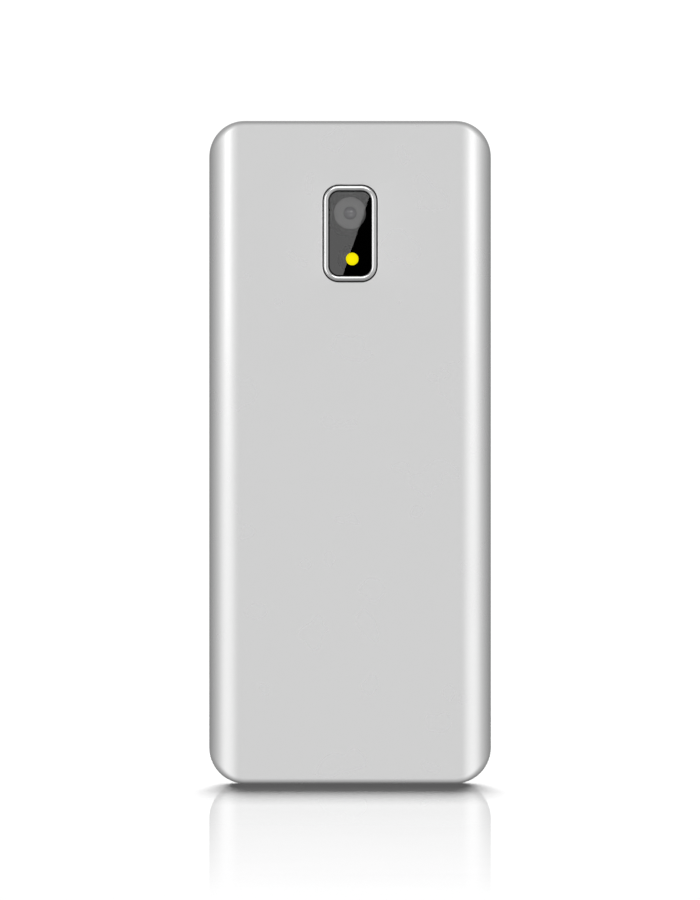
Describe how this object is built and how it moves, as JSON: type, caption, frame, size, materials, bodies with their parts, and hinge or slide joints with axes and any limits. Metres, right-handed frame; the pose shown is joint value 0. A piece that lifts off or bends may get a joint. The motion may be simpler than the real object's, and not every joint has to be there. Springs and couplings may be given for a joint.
{
  "type": "feature phone",
  "caption": "Silver-grey bar phone with a keypad, a display, a rear camera in a bright ring, a lift-off back cover and a removable battery.",
  "frame": {"origin": "middle of the bottom end, on the surface that the phone stands on", "axes": "+Z along the phone's length to its top end, +Y out of the back with the camera, -Y out of the keypad and display"},
  "size_m": [0.0506, 0.015, 0.1185],
  "materials": {
    "silver_shell": "silver-grey satin paint on plastic",
    "window_acrylic": "clear acrylic with a dark printed border",
    "lcd_glass": "dark display, switched off",
    "tray_white": "white backlight tray",
    "polyimide": "amber flex film",
    "mesh_steel": "fine dark steel mesh",
    "can_steel": "tinned sheet steel",
    "nav_metal": "bright silver",
    "key_plastic": "satin silver-grey key caps",
    "dark_plastic": "dark moulded plastic",
    "silicone": "milky silicone",
    "dome_film": "clear film over steel domes",
    "board_laminate": "green solder mask",
    "black_plastic": "fine-grained black plastic",
    "boot_rubber": "black rubber",
    "contact_gold": "gold-plated contacts",
    "camera_plastic": "black camera barrel",
    "lens_glass": "coated lens",
    "ring_chrome": "bright plated ring",
    "camera_glass": "tinted flat glass",
    "led_ceramic": "white package",
    "flash_yellow": "yellow phosphor",
    "antenna_copper": "copper film",
    "weight_steel": "sintered heavy metal",
    "battery_shell": "plain wrapped cell",
    "screw_steel": "dark zinc"
  },
  "bodies": {
    "phone": {"front_housing": "silver_shell", "display_window": "window_acrylic", "lcd_panel": "lcd_glass", "lcd_backlight": "tray_white", "lcd_flex": "polyimide", "earpiece_mesh": "mesh_steel", "speaker": "can_steel", "keypad_mat": "silicone", "dome_sheet": "dome_film", "main_board": "board_laminate", "baseband_shield": "can_steel", "radio_shield": "can_steel", "usb_socket": "can_steel", "usb_tongue": "black_plastic", "audio_jack": "black_plastic", "microphone": "contact_gold", "microphone_boot": "boot_rubber", "camera_module": "camera_plastic", "camera_lens": "lens_glass", "camera_gasket": "boot_rubber", "camera_ring": "ring_chrome", "camera_window": "camera_glass", "flash_led": "led_ceramic", "flash_lens": "flash_yellow", "rear_frame": "black_plastic", "antenna": "antenna_copper", "vibration_motor": "can_steel", "sim_socket_1": "can_steel", "sim_socket_2": "can_steel", "memory_card_socket": "can_steel", "battery_connector": "black_plastic", "battery_springs": "contact_gold", "frame_screws": "screw_steel"},
    "key_1": {"key_1": "key_plastic"},
    "key_2": {"key_2": "key_plastic"},
    "key_3": {"key_3": "key_plastic"},
    "key_4": {"key_4": "key_plastic"},
    "key_5": {"key_5": "key_plastic"},
    "key_6": {"key_6": "key_plastic"},
    "key_7": {"key_7": "key_plastic"},
    "key_8": {"key_8": "key_plastic"},
    "key_9": {"key_9": "key_plastic"},
    "key_star": {"key_star": "key_plastic"},
    "key_0": {"key_0": "key_plastic"},
    "key_hash": {"key_hash": "key_plastic"},
    "soft_key_left": {"soft_key_left": "key_plastic"},
    "soft_key_right": {"soft_key_right": "key_plastic"},
    "call_key": {"call_key": "key_plastic"},
    "end_key": {"end_key": "key_plastic"},
    "ok_key": {"ok_key": "key_plastic"},
    "navigation_rocker": {"navigation_rocker": "dark_plastic"},
    "navigation_ring": {"navigation_ring": "nav_metal"},
    "vibration_weight": {"vibration_weight": "weight_steel"},
    "back_cover": {"back_cover": "silver_shell"},
    "battery": {"battery_pack": "battery_shell", "battery_contacts": "contact_gold"}
  },
  "joints": [
    {"name": "key_1_press", "type": "slide", "parent": "phone", "child": "key_1", "axis": [0, 1, 0], "range_m": [0, 0.00025], "stiffness_N_per_m": 4000},
    {"name": "key_2_press", "type": "slide", "parent": "phone", "child": "key_2", "axis": [0, 1, 0], "range_m": [0, 0.00025], "stiffness_N_per_m": 4000},
    {"name": "key_3_press", "type": "slide", "parent": "phone", "child": "key_3", "axis": [0, 1, 0], "range_m": [0, 0.00025], "stiffness_N_per_m": 4000},
    {"name": "key_4_press", "type": "slide", "parent": "phone", "child": "key_4", "axis": [0, 1, 0], "range_m": [0, 0.00025], "stiffness_N_per_m": 4000},
    {"name": "key_5_press", "type": "slide", "parent": "phone", "child": "key_5", "axis": [0, 1, 0], "range_m": [0, 0.00025], "stiffness_N_per_m": 4000},
    {"name": "key_6_press", "type": "slide", "parent": "phone", "child": "key_6", "axis": [0, 1, 0], "range_m": [0, 0.00025], "stiffness_N_per_m": 4000},
    {"name": "key_7_press", "type": "slide", "parent": "phone", "child": "key_7", "axis": [0, 1, 0], "range_m": [0, 0.00025], "stiffness_N_per_m": 4000},
    {"name": "key_8_press", "type": "slide", "parent": "phone", "child": "key_8", "axis": [0, 1, 0], "range_m": [0, 0.00025], "stiffness_N_per_m": 4000},
    {"name": "key_9_press", "type": "slide", "parent": "phone", "child": "key_9", "axis": [0, 1, 0], "range_m": [0, 0.00025], "stiffness_N_per_m": 4000},
    {"name": "key_star_press", "type": "slide", "parent": "phone", "child": "key_star", "axis": [0, 1, 0], "range_m": [0, 0.00025], "stiffness_N_per_m": 4000},
    {"name": "key_0_press", "type": "slide", "parent": "phone", "child": "key_0", "axis": [0, 1, 0], "range_m": [0, 0.00025], "stiffness_N_per_m": 4000},
    {"name": "key_hash_press", "type": "slide", "parent": "phone", "child": "key_hash", "axis": [0, 1, 0], "range_m": [0, 0.00025], "stiffness_N_per_m": 4000},
    {"name": "soft_key_left_press", "type": "slide", "parent": "phone", "child": "soft_key_left", "axis": [0, 1, 0], "range_m": [0, 0.00025], "stiffness_N_per_m": 4000},
    {"name": "soft_key_right_press", "type": "slide", "parent": "phone", "child": "soft_key_right", "axis": [0, 1, 0], "range_m": [0, 0.00025], "stiffness_N_per_m": 4000},
    {"name": "call_key_press", "type": "slide", "parent": "phone", "child": "call_key", "axis": [0, 1, 0], "range_m": [0, 0.00025], "stiffness_N_per_m": 4000},
    {"name": "end_key_press", "type": "slide", "parent": "phone", "child": "end_key", "axis": [0, 1, 0], "range_m": [0, 0.00025], "stiffness_N_per_m": 4000},
    {"name": "ok_key_press", "type": "slide", "parent": "phone", "child": "ok_key", "axis": [0, 1, 0], "range_m": [0, 0.00025], "stiffness_N_per_m": 4000},
    {"name": "navigation_up_down", "type": "hinge", "parent": "phone", "child": "navigation_rocker", "pos_m": [0, -0.00395, 0.0439], "axis": [1, 0, 0], "range_deg": [-2, 2], "stiffness_Nm_per_rad": 0.2},
    {"name": "navigation_left_right", "type": "hinge", "parent": "navigation_rocker", "child": "navigation_ring", "pos_m": [0, -0.00465, 0.0439], "axis": [0, 0, 1], "range_deg": [-1.6, 1.6], "stiffness_Nm_per_rad": 0.2},
    {"name": "weight_spin", "type": "hinge", "parent": "phone", "child": "vibration_weight", "pos_m": [0.012, -0.0002, 0.09], "axis": [0, 0, 1], "continuous": true},
    {"name": "cover_lift", "type": "slide", "parent": "phone", "child": "back_cover", "axis": [0, 1, 0], "range_m": [0, 0.04]},
    {"name": "battery_lift", "type": "slide", "parent": "phone", "child": "battery", "axis": [0, 1, 0], "range_m": [0, 0.02]}
  ],
  "couplings": [
    {"joint": "battery_lift", "follows": "cover_lift", "ratio": 0.45}
  ]
}
